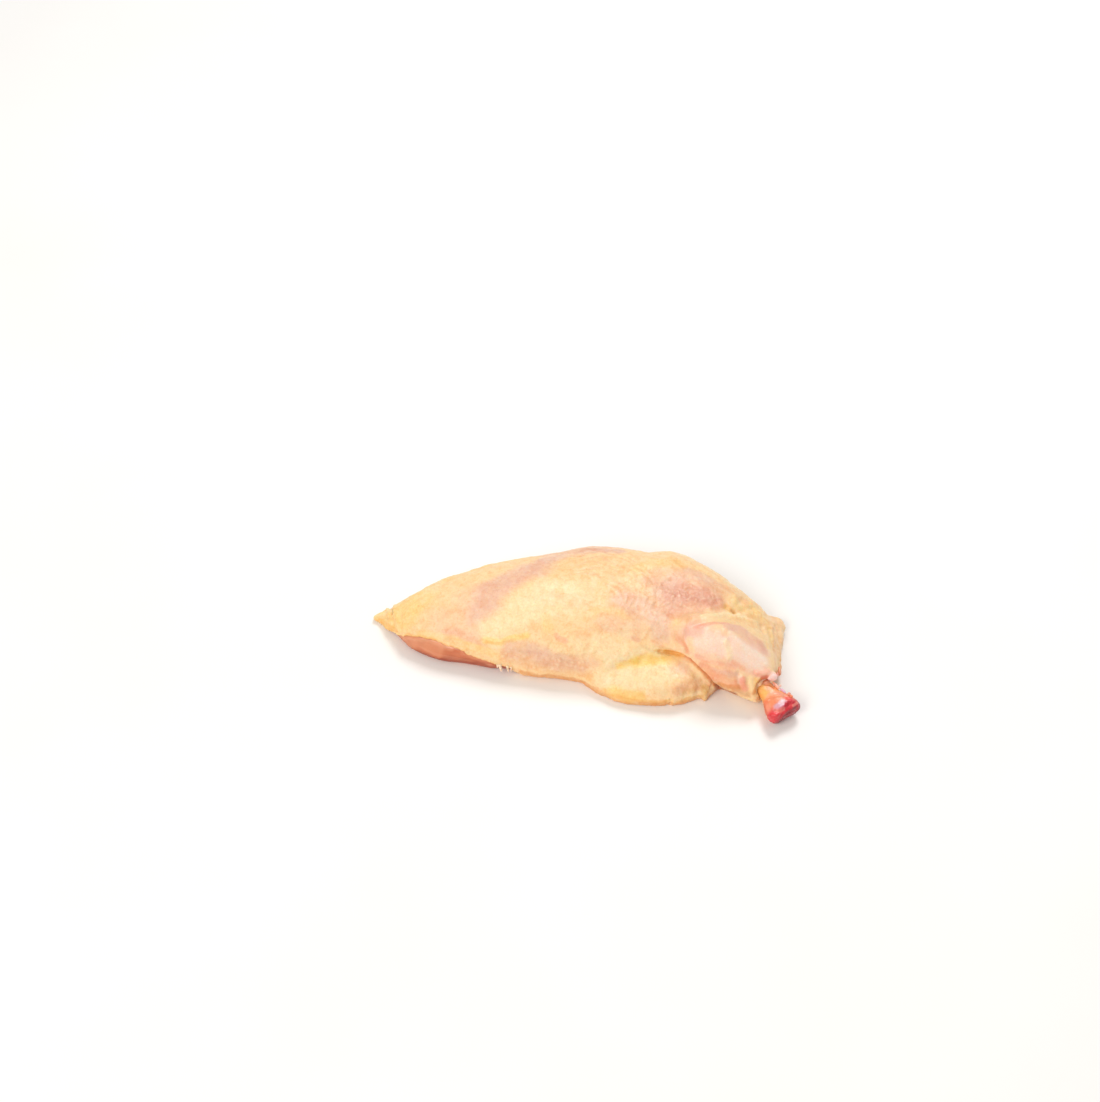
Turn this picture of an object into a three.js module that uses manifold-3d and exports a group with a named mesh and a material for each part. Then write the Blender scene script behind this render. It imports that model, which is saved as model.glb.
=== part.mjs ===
// A raw chicken supreme: one skin-on breast fillet with the wing's drumette left on it,
// folded forward beside the thick end, and the wing bone trimmed bare at its tip.
// Millimetres, +Z up. It lies skin side up on its flat cut face, tail tip towards -X,
// bone towards +X, and the drumette on the -Y side.
import * as THREE from 'three';
import { LoftGeometry } from 'three/addons/geometries/LoftGeometry.js';
import { mergeVertices } from 'three/addons/utils/BufferGeometryUtils.js';
import Module from 'manifold-3d';

const wasm = await Module();
wasm.setup();
const { lerp, smoothstep } = THREE.MathUtils;

// Stations of the fillet: y of its two sides and of its crown, and the crown's height.
const FILLET = [
  { x: -106.9, near: -18.7, far: -15.5, crown: -17.1, top: 1.8 },
  { x: -100.9, near: -21.5, far: -11.1, crown: -16.4, top: 5.5 },
  { x: -94.5, near: -25.5, far: -5.5, crown: -15, top: 10.7 },
  { x: -85.5, near: -31.6, far: 2.9, crown: -12.3, top: 15.8 },
  { x: -70.9, near: -34.7, far: 15.8, crown: -7.7, top: 20.7 },
  { x: -52.7, near: -33.5, far: 27.8, crown: -2.3, top: 24.5 },
  { x: -30.9, near: -32.7, far: 38.9, crown: 3.6, top: 27.5 },
  { x: -9.1, near: -30, far: 49.5, crown: 10, top: 29.6 },
  { x: 13.6, near: -24.5, far: 54.5, crown: 15.5, top: 30.5 },
  { x: 34.5, near: -16.4, far: 56.2, crown: 19.1, top: 29.5 },
  { x: 52.7, near: -8.2, far: 50.9, crown: 20, top: 26.4 },
  { x: 68.2, near: -2.7, far: 44.5, crown: 20, top: 20.9 },
  { x: 80, near: -3.6, far: 39.8, crown: 19.1, top: 14.1 },
  { x: 88.2, near: -5.5, far: 38.9, crown: 16.4, top: 8.2 },
  { x: 91, near: -6.4, far: 35.4, crown: 12.5, top: 6.4 },
  { x: 92.3, near: -6.4, far: 29.5, crown: 9.5, top: 5.4 },
  { x: 93.2, near: -6.2, far: 15.5, crown: 6, top: 4.6 },
  { x: 95, near: -4.5, far: 9, crown: 4, top: 3.4 },
  { x: 96.2, near: 0, far: 5.5, crown: 2.7, top: 2.3 },
];
// The lobe of fat and skin in front of the thick end.
const LOBE = [
  { x: -14.5, near: -24.5, far: -20, crown: -22.3, top: 1.4, valley: 0.9 },
  { x: -3.6, near: -28.2, far: -15.5, crown: -21.8, top: 6.4, valley: 4.5 },
  { x: 12.7, near: -31.3, far: -9.1, crown: -20.5, top: 10.9, valley: 5.5 },
  { x: 29.1, near: -32.5, far: -3.6, crown: -19.1, top: 13.6, valley: 3.6 },
  { x: 43.6, near: -31.8, far: 0, crown: -17.3, top: 14.5, valley: 2.7 },
  { x: 54.5, near: -28.6, far: 0, crown: -15.9, top: 13.6, valley: 2.7 },
  { x: 61.8, near: -24.5, far: -3.6, crown: -15, top: 10.5, valley: 2.7 },
  { x: 66.4, near: -20, far: -8.2, crown: -14.5, top: 5.5, valley: 2.3 },
  { x: 68.6, near: -16.8, far: -11.8, crown: -14.4, top: 2.7, valley: 1.8 },
  { x: 70.5, near: -14.1, far: -11.8, crown: -13.2, top: 0.9, valley: 0.9 },
];
// The drumette: the middle of its sections and their half width and half height.
const DRUMETTE = [
  { x: 38.5, y: 0.4, z: 17.5, across: 2, up: 3, valley: 1 },
  { x: 43, y: 0, z: 18, across: 6.6, up: 8.6, valley: 1.4 },
  { x: 48, y: -0.2, z: 17.5, across: 10.4, up: 12.6, valley: 2.4 },
  { x: 53.8, y: 0, z: 16.4, across: 13.4, up: 14, valley: 3 },
  { x: 60.9, y: -0.6, z: 15.2, across: 16.2, up: 14.5, valley: 3.6 },
  { x: 70.9, y: -1.3, z: 12.6, across: 18.4, up: 13.8, valley: 4.2 },
  { x: 80, y: -1.6, z: 10, across: 18.8, up: 11.7, valley: 6.4 },
  { x: 86.4, y: -3.5, z: 8.1, across: 17.2, up: 9.8, valley: 10 },
  { x: 90.5, y: -5.6, z: 7.4, across: 14.4, up: 8, valley: 8.2 },
  { x: 93.2, y: -6.4, z: 7.3, across: 9.5, up: 6.2, valley: 4.5 },
  { x: 95, y: -6.6, z: 7.2, across: 4.5, up: 3.7, valley: 0.9 },
];
// A point well inside the flesh at each station, from which its outline is measured.
const HEART = [
  { x: -106.9, y: -17.1, z: 0.5 },
  { x: -94.5, y: -14.5, z: 3.2 },
  { x: -54.5, y: -3.6, z: 7.3 },
  { x: 0, y: 10.9, z: 9.1 },
  { x: 45.5, y: 7.3, z: 8.2 },
  { x: 72.7, y: 5.5, z: 5.5 },
  { x: 88.2, y: 1.8, z: 3.2 },
  { x: 93.6, y: 0.9, z: 1.8 },
  { x: 96.8, y: 2.7, z: 0.7 },
];
// Height of the skin's cut edge above the flat base along the near flank's bare meat.
const SKIN_EDGE = [
  { x: -99.9, height: 0 },
  { x: -94.9, height: 3 },
  { x: -88.5, height: 6.2 },
  { x: -79.2, height: 9.9 },
  { x: -64.9, height: 11.8 },
  { x: -54.7, height: 9 },
  { x: -47.1, height: 7.7 },
  { x: -39.6, height: 5.4 },
  { x: -28.9, height: 0 },
];
const skinThickness = 1.1;
// Low swellings and hollows of the surface: where, how wide and how high.
const SWELLINGS = [
  { x: -38.2, y: -2.7, wide: 21.8, high: 1.1 },
  { x: -72.7, y: -12.7, wide: 12.7, high: 0.7 },
  { x: 26.5, y: 52.7, wide: 7.5, high: 0.8 },
  { x: 14.5, y: 50.5, wide: 9.5, high: -2.2 },
  { x: -12, y: 44.5, wide: 14, high: 0.7 },
  { x: 62.6, y: 43.2, wide: 4.2, high: -1.6 },
  { x: 71.6, y: 40.6, wide: 4.2, high: -1.5 },
  { x: 80, y: 39.6, wide: 5, high: -2.6 },
  { x: 34.5, y: 20, wide: 12.7, high: -1.5 },
  { x: 5.5, y: -14.5, wide: 10.9, high: 0.8 },
  { x: -10.9, y: 20, wide: 18.2, high: 0.7 },
  { x: 56.4, y: 23.6, wide: 9.1, high: 0.7 },
  { x: -20, y: -27.3, wide: 8.2, high: -0.7 },
];
const sectionCount = 86;
const topPoints = 50;
const basePoints = 8;
const rays = 260;
const reach = 75;

// The wing bone, its sections measured along its axis, and the pulley at its bare end.
const BONE = {
  root: [80.4, -4, 9.4],
  end: [103.2, -23.4, 5.6],
  sections: [
    { along: 0, across: 1.4, up: 1.3 },
    { along: 0.7, across: 3.1, up: 2.9 },
    { along: 2.7, across: 4, up: 3.7 },
    { along: 12.7, across: 4.2, up: 3.9 },
    { along: 17.3, across: 4.7, up: 4.3 },
    { along: 21.4, across: 6.7, up: 5.1 },
    { along: 24.5, across: 8.2, up: 5.6 },
    { along: 27.6, across: 8.8, up: 5.8 },
    { along: 29.8, across: 8.5, up: 5.3 },
    { along: 31, across: 7.4, up: 4 },
    { along: 31.4, across: 6, up: 2.4 },
  ],
  grooveDepth: 0.8,
  grooveWidth: 3.1,
  rings: 34,
  around: 26,
};
const socketGap = 0.3;
// The flat cut through the flesh round the bone: a point on it, and its turn about Z.
const CUFF_CUT = { at: [91.6, -8, 0], turn: -0.23, size: 40 };
// The knuckle of gristle where the bone leaves the flesh.
const GRISTLE = { at: [92.4, -8.2, 12.4], size: [2.6, 2.7, 2.3] };

// Reads a table of stations as smooth curves over its first column.
function curvesOf(table) {
  const names = Object.keys(table[0]);
  const starts = table.map((row) => row[names[0]]);
  const values = table.flatMap((row) => names.map((name) => row[name]));
  const curves = new THREE.CubicInterpolant(starts, values, names.length);
  return (at) => {
    const found = curves.evaluate(at);
    return Object.fromEntries(names.map((name, i) => [name, found[i]]));
  };
}

const spans = (table, x) => x > table[0].x && x < table[table.length - 1].x;
const fillet = curvesOf(FILLET);
const lobe = curvesOf(LOBE);
const drumette = curvesOf(DRUMETTE);
const heart = curvesOf(HEART);
const skinEdge = curvesOf(SKIN_EDGE);

// Distance of a point from an oval, along the line through the oval's middle.
function ovalDistance(dy, dz, across, up, squareness) {
  const out = Math.hypot(dy, dz);
  const power = 2 / squareness;
  const share = (Math.abs(dy / across) ** power + Math.abs(dz / up) ** power) ** (1 / power);
  return share < 1e-6 ? -Math.min(across, up) : out * (1 - 1 / share);
}

// A loaf lying on its flat base: widest a little above it, and rounded over its crown.
function loafDistance(y, z, { near, far, crown, top }, belly) {
  const half = y < crown ? crown - near : far - crown;
  const widest = top * belly;
  if (z > widest) return ovalDistance(y - crown, z - widest, half, top - widest, 0.92);
  return ovalDistance(y - crown, z - widest, half, widest * 2.2, 0.9);
}

// Joins two distances with a soft valley of the given width between them.
function softUnion(a, b, width) {
  const near = Math.max(width - Math.abs(a - b), 0) / width;
  return Math.min(a, b) - near * near * width * 0.25;
}

function fleshDistance(x, y, z, at) {
  let distance = loafDistance(y, z, at.fillet, 0.26);
  if (at.lobe) {
    distance = softUnion(distance, loafDistance(y, z, at.lobe, 0.4), at.lobe.valley);
  }
  if (at.drumette) {
    const { y: middle, z: height, across, up } = at.drumette;
    const limb = ovalDistance(y - middle, z - height, across, up, 0.97);
    distance = softUnion(distance, limb, at.drumette.valley);
  }
  if (at.edge > 0 && y < at.fillet.crown) {
    const below = smoothstep(at.edge - z, -0.6, 0.9);
    distance += skinThickness * below * Math.min(1, at.edge / 3);
  }
  for (const { x: sx, y: sy, wide, high } of SWELLINGS) {
    const away = ((x - sx) ** 2 + (y - sy) ** 2) / wide ** 2;
    if (away < 5) distance -= high * Math.exp(-away * 1.5) * Math.min(1, z / 6);
  }
  return distance;
}

// The outermost point of the flesh on a ray from the heart of a section.
function outermost(measure, y, z, dy, dz) {
  let outside = reach;
  while (outside > 0.5 && measure(y + dy * outside, z + dz * outside) > 0) outside -= 0.75;
  let inside = Math.max(outside, 0.2);
  outside = inside + 0.75;
  for (let i = 0; i < 14; i++) {
    const middle = (inside + outside) / 2;
    if (measure(y + dy * middle, z + dz * middle) > 0) outside = middle;
    else inside = middle;
  }
  return [y + dy * inside, z + dz * inside];
}

// One closed outline of the flesh, square to X: over the top from far to near, then
// straight back along the base.
function fleshSection(x) {
  const at = {
    fillet: fillet(x),
    lobe: spans(LOBE, x) ? lobe(x) : null,
    drumette: spans(DRUMETTE, x) ? drumette(x) : null,
    edge: spans(SKIN_EDGE, x) ? skinEdge(x).height : 0,
  };
  const measure = (y, z) => fleshDistance(x, y, z, at);
  const { y, z } = heart(x);
  const farFoot = outermost((a) => measure(a, 0), y, 0, 1, 0)[0];
  const nearFoot = outermost((a) => measure(a, 0), y, 0, -1, 0)[0];
  const first = Math.atan2(-z, farFoot - y);
  const last = Math.PI + Math.atan2(z, y - nearFoot);
  const outline = [new THREE.Vector3(x, farFoot, 0)];
  for (let i = 1; i < rays; i++) {
    const turn = first + ((last - first) * i) / rays;
    const [py, pz] = outermost(measure, y, z, Math.cos(turn), Math.sin(turn));
    if (pz > 0.05) outline.push(new THREE.Vector3(x, py, pz));
  }
  outline.push(new THREE.Vector3(x, nearFoot, 0));
  const path = new THREE.CurvePath();
  for (let i = 1; i < outline.length; i++) {
    path.add(new THREE.LineCurve3(outline[i - 1], outline[i]));
  }
  const ring = path.getSpacedPoints(topPoints);
  for (let i = 1; i < basePoints; i++) {
    const share = i / basePoints;
    ring.push(new THREE.Vector3(x, nearFoot + (farFoot - nearFoot) * share, 0));
  }
  return ring;
}

// Sections lie closer together towards both ends, where the outline turns fastest, and
// each is evened out a little with its two neighbours.
function fleshGeometry() {
  const start = FILLET[0].x;
  const length = FILLET[FILLET.length - 1].x - start;
  const rings = [];
  for (let i = 0; i < sectionCount; i++) {
    const share = i / (sectionCount - 1);
    const eased = 0.5 - 0.5 * Math.cos(share * Math.PI);
    rings.push(fleshSection(start + length * lerp(share, eased, 0.6)));
  }
  const evened = rings.map((ring, i) => ring.map((point, j) => {
    if (i === 0 || i === sectionCount - 1) return point;
    const between = rings[i - 1][j].clone().lerp(rings[i + 1][j], 0.5);
    return new THREE.Vector3(point.x, lerp(point.y, between.y, 0.5), lerp(point.z, between.z, 0.5));
  }));
  return new LoftGeometry(evened, { capStart: true, capEnd: true });
}

function boneGeometry(grow) {
  const root = new THREE.Vector3(...BONE.root);
  const ahead = new THREE.Vector3(...BONE.end).sub(root).normalize();
  const sideways = new THREE.Vector3(0, 0, 1).cross(ahead).normalize();
  const upwards = ahead.clone().cross(sideways);
  const sizes = curvesOf(BONE.sections);
  const length = BONE.sections[BONE.sections.length - 1].along;
  const rings = [];
  for (let i = 0; i < BONE.rings; i++) {
    const share = i / (BONE.rings - 1);
    const along = length * (0.5 - 0.5 * Math.cos(share * Math.PI));
    const { across, up } = sizes(along);
    const pulley = smoothstep(along, length - 9, length - 2);
    const ring = [];
    for (let j = 0; j < BONE.around; j++) {
      const turn = (j / BONE.around) * 2 * Math.PI;
      const side = (across + grow) * Math.cos(turn);
      const groove = Math.exp(-((side / BONE.grooveWidth) ** 2)) * pulley;
      const high = (up + grow) * Math.sin(turn) * (1 - 0.12 * groove);
      const reached = along - BONE.grooveDepth * groove + grow * (2 * share - 1);
      ring.push(root.clone().addScaledVector(ahead, reached)
        .addScaledVector(sideways, side).addScaledVector(upwards, high));
    }
    rings.push(ring);
  }
  return new LoftGeometry(rings, { capStart: true, capEnd: true });
}

function solidOf(geometry) {
  const bare = new THREE.BufferGeometry();
  bare.setAttribute('position', geometry.getAttribute('position'));
  bare.setIndex(geometry.index);
  const merged = mergeVertices(bare, 1e-3);
  return new wasm.Manifold(new wasm.Mesh({
    numProp: 3,
    vertProperties: merged.attributes.position.array,
    triVerts: new Uint32Array(merged.index.array),
  }));
}

const gristle = new THREE.SphereGeometry(1, 16, 12);
gristle.scale(...GRISTLE.size).translate(...GRISTLE.at);

// A block whose flat side, through the origin, faces back along X before it is turned.
const cuffCut = new THREE.BoxGeometry(CUFF_CUT.size, CUFF_CUT.size, CUFF_CUT.size);
cuffCut.translate(CUFF_CUT.size / 2, 0, 0).rotateZ(CUFF_CUT.turn).translate(...CUFF_CUT.at);

const flesh = solidOf(fleshGeometry())
  .subtract(solidOf(cuffCut))
  .add(solidOf(gristle))
  .subtract(solidOf(boneGeometry(socketGap)));
const bone = solidOf(boneGeometry(0));

const part = new THREE.Group();

function addMesh(name, solid, color, roughness) {
  const { vertProperties, triVerts } = solid.getMesh();
  const geometry = new THREE.BufferGeometry();
  geometry.setAttribute('position', new THREE.BufferAttribute(vertProperties, 3));
  geometry.setIndex(new THREE.BufferAttribute(triVerts, 1));
  geometry.computeVertexNormals();
  const material = new THREE.MeshStandardMaterial({ color, roughness, metalness: 0 });
  const mesh = new THREE.Mesh(geometry, material);
  mesh.name = name;
  part.add(mesh);
}

addMesh('breast', flesh, 0xf2cd94, 0.5);
addMesh('wing_bone', bone, 0xc95a4a, 0.45);

// The origin goes to the middle of the resting face's bounding box.
const box = new THREE.Box3().setFromObject(part);
const middle = box.getCenter(new THREE.Vector3());
for (const { geometry } of part.children) geometry.translate(-middle.x, -middle.y, -box.min.z);

export default part;
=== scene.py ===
import math

import bmesh
import bpy
import numpy as np
from mathutils import Matrix, Vector, kdtree, noise

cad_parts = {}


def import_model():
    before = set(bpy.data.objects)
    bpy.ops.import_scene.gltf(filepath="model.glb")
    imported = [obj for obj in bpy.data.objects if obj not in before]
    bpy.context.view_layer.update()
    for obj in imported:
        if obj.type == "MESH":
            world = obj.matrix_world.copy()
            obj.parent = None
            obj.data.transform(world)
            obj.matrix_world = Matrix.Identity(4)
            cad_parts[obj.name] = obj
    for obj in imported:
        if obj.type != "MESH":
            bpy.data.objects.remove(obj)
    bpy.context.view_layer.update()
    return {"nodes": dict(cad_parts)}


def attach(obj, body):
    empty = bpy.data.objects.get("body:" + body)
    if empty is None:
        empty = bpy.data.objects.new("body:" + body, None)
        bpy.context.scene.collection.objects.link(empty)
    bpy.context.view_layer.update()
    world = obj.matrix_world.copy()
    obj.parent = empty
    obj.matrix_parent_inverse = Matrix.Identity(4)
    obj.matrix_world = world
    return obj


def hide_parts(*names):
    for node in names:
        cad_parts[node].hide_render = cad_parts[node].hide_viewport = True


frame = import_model()


# The breast fillet: one lean pink muscle whose grain runs from the tail to the wing. The
# knife left it bare underneath and along the near flank, where the skin stops short of
# the flat cut face, and it stays hidden everywhere else.
MM = 0.001
MEAT_GRAIN = 1.0
# Where the meat starts and ends along X, and how deep it lies where skin covers it or not.
MEAT_FROM = -104
MEAT_TO = 83
MEAT_COVERED = 2.1
MEAT_BARE = 0.2
# Height of the skin's cut edge above the cut face along the near flank, by x.
SKIN_EDGE = (
    (-104, -4), (-100.5, 0), (-98.2, 1), (-92.7, 2.5), (-88.9, 6.1), (-86.3, 8.6), (-82.8, 9.9),
    (-79.6, 11), (-75.8, 11.3), (-72.8, 12.2), (-69, 12), (-65.4, 11.3), (-61.7, 10.9), (-58.6, 10.9),
    (-56, 10.4), (-53.9, 8.8), (-51.3, 8.4), (-48.3, 7.8), (-45.1, 7.6), (-42, 7.4), (-39.1, 6.6),
    (-35.5, 5.6), (-33, 4.8), (-31.3, 3.5), (-29.5, 0), (-26, -5),
)
# The fillet's crest, by x, parts the near side from the far side.
CREST = ((-108, -28.5), (-54, -13.7), (0, 1), (54, 8), (96, -5))
# How far the foot of the near flank bulges out beyond the plain solid, by x.
FOOT_OUT = (
    (-92, 0), (-89, 0.3), (-84, 1.2), (-76, 2.0), (-66, 3.0), (-52, 2.7), (-42, 2.8), (-38, 1.6),
    (-34, 0.5), (-30.5, 0.6), (-28, 1.8), (-25.5, 2.6), (-22, 2.6), (-16, 2.3), (-11, 1.9), (-5, 0.6),
    (-1, -0.1), (4, -0.2), (7.2, 0.4), (11.5, 1.7), (15, 2.5), (19.6, 3.3), (23, 3.6), (27.5, 3.3),
    (32, 2.8), (36.5, 1.9), (40.5, 0.8), (43.5, 0.4), (45.5, -0.5), (47, 0.5), (50, 0.3), (53, -0.6),
    (57, -1.6), (59.5, -2.2), (61, -1.6), (62.5, -0.1), (64, -0.6), (66.5, -2.6), (70, 0),
)
# The height where that bulge ends, and the width of the rim of skin under the fillet.
FOOT_TOP = 14
UNDER_RIM = 6.5
# The bundles of fibres in the meat: their length, width and height.
FIBRES = ((16, 1.9, 0.16), (9, 0.9, 0.07))
MEAT_ROSE = (208, 118, 76)
MEAT_SHADE = (156, 62, 34)
MEAT_FILM = (238, 172, 132)
# Each tone is a soft stroke: its colour, width, strength and the points that it runs through.
MEAT_TONES = (
    # The first two strokes are painted shade: the meat darker along its foot.
    (MEAT_SHADE, 3.2, 0.8, ((-97, -34, 0), (-84, -43, 0.5), (-70, -48, 1), (-56, -49, 1), (-42, -47, 0.5))),
    (MEAT_SHADE, 3.5, 0.8, ((-64, -48, 3), (-54, -48, 4), (-46, -46, 4), (-36, -44, 3))),
    (MEAT_FILM, 3.2, 0.6, ((-92, -38, 3), (-86, -41, 5), (-78, -44, 8), (-68, -45, 8))),
    (MEAT_FILM, 1.6, 0.75, ((-90, -40, 5), (-82.9, -42.8, 9.2), (-72.8, -43.8, 11.6), (-62, -44, 10))),
    (MEAT_FILM, 1.2, 0.4, ((-56, -45, 9.5), (-49, -45.6, 7.4), (-42, -46, 6.5))),
)


def paint(red, green, blue):
    """A colour as a screen shows it, from 0 to 255, as the linear colour of a shader."""
    shares = [value / 255 for value in (red, green, blue)]
    return [s / 12.92 if s <= 0.04045 else ((s + 0.055) / 1.055) ** 2.4 for s in shares] + [1]


def ease(start, end, values):
    """0 up to start and 1 from end on, with a soft change between them."""
    share = np.clip((values - start) / (end - start), 0, 1)
    return share * share * (3 - 2 * share)


def lumps(points, size, seed=0.0):
    """Smooth noise from about -1 to 1 with lumps of the given size, or one size an axis."""
    return np.array([noise.noise(spot) for spot in (points / size + seed).tolist()])


def link(name, mesh):
    piece = bpy.data.objects.new(name, mesh)
    bpy.context.scene.collection.objects.link(piece)
    return piece


def fine_copy(node, name, grain, keep_from=None, keep_to=None):
    """A copy of a solid in small even faces, cut square to X where a limit is given."""
    piece = link(name, frame["nodes"][node].data.copy())
    piece.data.materials.clear()
    body = bmesh.new()
    body.from_mesh(piece.data)
    bmesh.ops.remove_doubles(body, verts=body.verts, dist=0.01 * MM)
    for limit, outwards in ((keep_from, -1), (keep_to, 1)):
        if limit is not None:
            cut = bmesh.ops.bisect_plane(
                body, geom=body.verts[:] + body.edges[:] + body.faces[:],
                plane_co=(limit * MM, 0, 0), plane_no=(outwards, 0, 0), clear_outer=True)
            rim = [part for part in cut["geom_cut"] if isinstance(part, bmesh.types.BMEdge)]
            bmesh.ops.holes_fill(body, edges=rim)
    body.to_mesh(piece.data)
    body.free()
    even = piece.modifiers.new("even", "REMESH")
    even.mode = "VOXEL"
    even.voxel_size = grain * MM
    coarse = piece.data
    piece.data = bpy.data.meshes.new_from_object(
        piece.evaluated_get(bpy.context.evaluated_depsgraph_get()))
    piece.modifiers.clear()
    bpy.data.meshes.remove(coarse)
    piece.data.name = name
    return piece


def soften(piece, rounds, wanted=None):
    """Evens the surface out, after splitting the wanted faces in four."""
    body = bmesh.new()
    body.from_mesh(piece.data)
    if wanted is not None:
        body.edges.ensure_lookup_table()
        edges = {edge for face, pick in zip(body.faces, wanted) if pick for edge in face.edges}
        bmesh.ops.subdivide_edges(body, edges=list(edges), cuts=1, use_grid_fill=True)
    for _ in range(rounds):
        bmesh.ops.smooth_vert(
            body, verts=body.verts, factor=0.5,
            use_axis_x=True, use_axis_y=True, use_axis_z=True)
    body.to_mesh(piece.data)
    body.free()


def surface(piece):
    """The points of a piece in millimetres, and its normals."""
    count = len(piece.data.vertices)
    points = np.empty(count * 3)
    normals = np.empty(count * 3)
    piece.data.vertices.foreach_get("co", points)
    piece.data.vertices.foreach_get("normal", normals)
    return points.reshape(-1, 3) / MM, normals.reshape(-1, 3)


def reshape(piece, points):
    piece.data.vertices.foreach_set("co", (points * MM).ravel())
    piece.data.polygons.foreach_set("use_smooth", [True] * len(piece.data.polygons))
    piece.data.update()


def beyond_crest(points):
    """How far each point lies on the far side of the crest, below zero on the near side."""
    return points[:, 1] - np.interp(points[:, 0], *zip(*CREST))


def footed(points):
    """Draws the foot of the near flank out to where it rests, and less higher up."""
    share = ease(FOOT_TOP, 1.5, points[:, 2]) * ease(-4, -20, beyond_crest(points))
    moved = points.copy()
    moved[:, 1] -= share * np.interp(points[:, 0], *zip(*FOOT_OUT))
    return moved


def record(piece, name, values):
    """Keeps a number or a colour for each point, which the piece's material reads by name."""
    if np.ndim(values) == 1:
        layer = piece.data.attributes.new(name, "FLOAT", "POINT")
        layer.data.foreach_set("value", np.asarray(values, np.float32))
        return
    shares = np.clip(values / 255, 0, 1)
    linear = np.where(shares <= 0.04045, shares / 12.92, ((shares + 0.055) / 1.055) ** 2.4)
    filled = np.concatenate([linear, np.ones((len(linear), 1))], axis=1)
    layer = piece.data.attributes.new(name, "FLOAT_COLOR", "POINT")
    layer.data.foreach_set("color", filled.astype(np.float32).ravel())


def away_from(points, normals, path, reach):
    """How far each point lies from a line drawn on the surface, up to the given reach."""
    stops = np.array(path + path[-1:], float)
    boxed = (points > stops.min(0) - reach) & (points < stops.max(0) + reach)
    close = np.flatnonzero(boxed.all(axis=1))
    spots, facing = points[close], normals[close]
    nearest = np.full(len(close), 99.0)
    for start, end in zip(stops, stops[1:]):
        run = end - start
        share = np.clip((spots - start) @ run / (run @ run + 1e-9), 0, 1)
        gap = spots - start - share[:, None] * run
        gap -= 0.7 * (gap * facing).sum(1)[:, None] * facing
        nearest = np.minimum(nearest, np.linalg.norm(gap, axis=1))
    away = np.full(len(points), 99.0)
    away[close] = nearest
    return away


def wandering(points, size, far, seed):
    """The points moved about a little, so that lines and patches laid on them wander."""
    return points + far * np.stack([lumps(points, size, seed + turn) for turn in (0, 3.3, 7.9)], 1)


def tinted(colours, tone, share):
    """The colours moved towards a tone, each by its own share."""
    return colours + share[:, None] * (np.array(tone) - colours)


def painted(points, normals, ground, strokes):
    """The colour at each point: soft-edged strokes laid over the ground, worn in places."""
    fine = wandering(points, 4, 0.4, 50.0)
    middle = wandering(points, 6, 1.2, 40.0)
    wide = wandering(middle, 16, 3.0, 30.0)
    worn = np.clip(0.3 + lumps(points, (2.4, 3.0, 2.6), 6.0) + 0.5 * lumps(points, 1.3, 7.0), 0, 1)
    thin = np.clip(0.45 + 1.3 * lumps(points, (8, 6, 6), 9.0), 0, 1)
    colours = np.array(ground, float) * np.ones((len(points), 1))
    for tone, width, strength, path in strokes:
        moved = wide if width > 5 else middle if width > 1.6 else fine
        share = strength * ease(1.3 * width, 0.4 * width, away_from(moved, normals, path, 1.4 * width))
        share = share * (1 - 0.22 * worn - (0.33 * thin if 2 < width < 7 else 0))
        colours = tinted(colours, tone, share)
    return colours


def skin_cover(points, normals):
    """How far each point lies inside the skin's cut edge: below zero the meat is bare."""
    x, z = points[:, 0], points[:, 2]
    edge = np.interp(x, *zip(*SKIN_EDGE))
    ragged = 0.45 * lumps(points, (6, 7, 50)) + 0.4 * lumps(points, (1.9, 2.2, 50), 4.7)
    near = beyond_crest(points) < 0
    beside = np.where(near, z - edge + ragged, 9.0)
    under = (normals[:, 2] < -0.75) & (z < 1.5)
    outline = points[~under & (z < 2.5)]
    tree = kdtree.KDTree(len(outline))
    for index, spot in enumerate(outline.tolist()):
        tree.insert(spot, index)
    tree.balance()
    inward = np.zeros(len(points))
    inward[under] = [tree.find(spot)[2] for spot in points[under].tolist()]
    rim = np.where(near, np.clip(-1.4 * edge, -9, UNDER_RIM), UNDER_RIM) + 2.2 * ragged
    rim = np.where(near, rim, rim + 1.2 * lumps(points, 14, 8.1))
    rim = rim + 60 * ease(76, 84, x) + 30 * ease(-97, -101, x)
    return np.where(under, rim - inward, np.minimum(beside, 9.0))


def shader_of(name):
    """A new material, with its node tree, its shader and the piece's own coordinates."""
    material = bpy.data.materials.new(name)
    material.use_nodes = True
    tree = material.node_tree
    place = tree.nodes.new("ShaderNodeTexCoord").outputs["Object"]
    return material, tree, tree.nodes["Principled BSDF"], place


def wire(tree, kind, inputs, **settings):
    """Adds a node and returns it. An input is a number, a colour or another node's socket."""
    made = tree.nodes.new("ShaderNode" + kind)
    for name, value in settings.items():
        setattr(made, name, value)
    for name, value in inputs.items():
        if isinstance(value, bpy.types.NodeSocket):
            tree.links.new(value, made.inputs[name])
        else:
            made.inputs[name].default_value = value
    return made


def attribute(tree, name, output="Fac"):
    return wire(tree, "Attribute", {}, attribute_name=name).outputs[output]


def grain(tree, place, scale, detail=2.0, stretch=None, distortion=0.0):
    """Noise at so many lumps a metre, stretched along an axis where asked."""
    if stretch:
        place = wire(tree, "Mapping", {"Vector": place, "Scale": stretch}).outputs["Vector"]
    inputs = {"Vector": place, "Scale": scale, "Detail": detail, "Distortion": distortion}
    return wire(tree, "TexNoise", inputs).outputs["Fac"]


def between(tree, value, low, high, start=0.0, end=1.0):
    """Spreads a value that runs from low to high over start to end, and holds it there."""
    inputs = {"Value": value, "From Min": low, "From Max": high, "To Min": start, "To Max": end}
    return wire(tree, "MapRange", inputs).outputs["Result"]


def blend(tree, share, first, second, way="MIX"):
    """One colour over another: the share, and both colours, are sockets or values."""
    mixer = wire(tree, "Mix", {0: share, 6: first, 7: second}, data_type="RGBA", blend_type=way)
    return mixer.outputs[2]


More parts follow.
